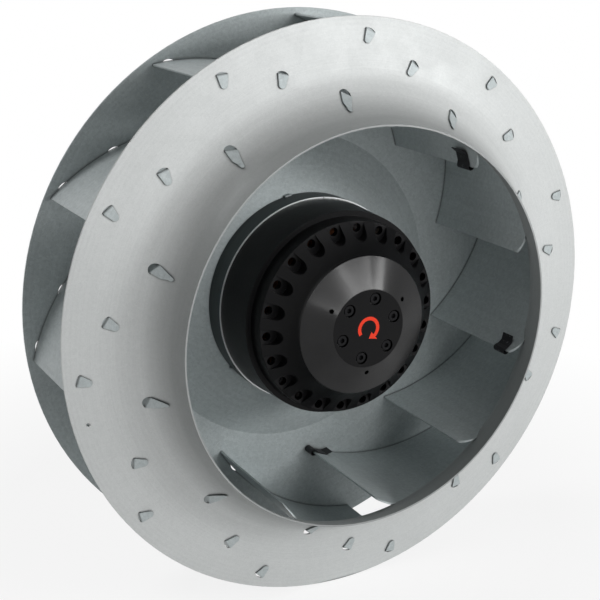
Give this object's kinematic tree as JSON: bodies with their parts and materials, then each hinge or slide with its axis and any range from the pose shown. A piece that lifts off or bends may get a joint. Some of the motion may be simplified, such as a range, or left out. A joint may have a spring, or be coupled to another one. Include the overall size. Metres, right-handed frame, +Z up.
{
  "type": "centrifugal fan",
  "caption": "Backward-curved centrifugal impeller of galvanised sheet steel, driven directly by the external-rotor motor in its eye.",
  "frame": {"origin": "centre of the motor's bolt circle, on its mounting face", "axes": "the fan turns about Y: +Y points out of the mounting face, -Y out of the inlet; +Z up, +X to the right seen from the inlet"},
  "size_m": [0.5, 0.1908, 0.5],
  "materials": {
    "galvanised_sheet": "hot-dip galvanised, fine spangle, satin",
    "spring_steel": "black phosphated spring steel",
    "collar_steel": "rolled steel strip, dark, ground edge",
    "black_enamel": "black enamel on cast aluminium, glossy on the boss",
    "lamination": "stacked electrical sheet",
    "black_screw": "painted over with the rotor",
    "ground_steel": "ground shaft steel",
    "bearing_steel": "polished bearing steel",
    "cast_aluminium": "die cast, machined mounting face",
    "zinc_cap": "zinc-plated pressed cap",
    "copper_wire": "enamelled copper wire",
    "gland_plastic": "black polyamide",
    "gland_rubber": "black rubber",
    "zinc_screw": "zinc-plated"
  },
  "bodies": {
    "stator": {"stator_flange": "cast_aluminium", "preload_spring": "spring_steel", "bearing_cap": "zinc_cap", "stator_core": "lamination", "winding": "copper_wire", "front_bearing_outer": "bearing_steel", "rear_bearing_outer": "bearing_steel", "gland_body": "gland_plastic", "gland_nut": "gland_plastic", "gland_seal": "gland_rubber", "earth_screw": "zinc_screw"},
    "impeller": {"shroud": "galvanised_sheet", "back_plate": "galvanised_sheet", "blade_01": "galvanised_sheet", "blade_02": "galvanised_sheet", "blade_03": "galvanised_sheet", "blade_04": "galvanised_sheet", "blade_05": "galvanised_sheet", "blade_06": "galvanised_sheet", "blade_07": "galvanised_sheet", "blade_08": "galvanised_sheet", "blade_09": "galvanised_sheet", "blade_10": "galvanised_sheet", "blade_11": "galvanised_sheet", "balance_clip_1": "spring_steel", "balance_clip_2": "spring_steel", "balance_clip_3": "spring_steel", "hub_collar": "collar_steel", "rotor_bell": "black_enamel", "rotor_core": "lamination", "rotor_screws": "black_screw", "shaft": "ground_steel", "shaft_circlip": "spring_steel", "front_bearing_inner": "bearing_steel", "rear_bearing_inner": "bearing_steel", "front_bearing_balls": "bearing_steel", "rear_bearing_balls": "bearing_steel"}
  },
  "joints": [
    {"name": "impeller_spin", "type": "hinge", "parent": "stator", "child": "impeller", "pos_m": [0, 0, 0], "axis": [0, 1, 0], "continuous": true}
  ]
}
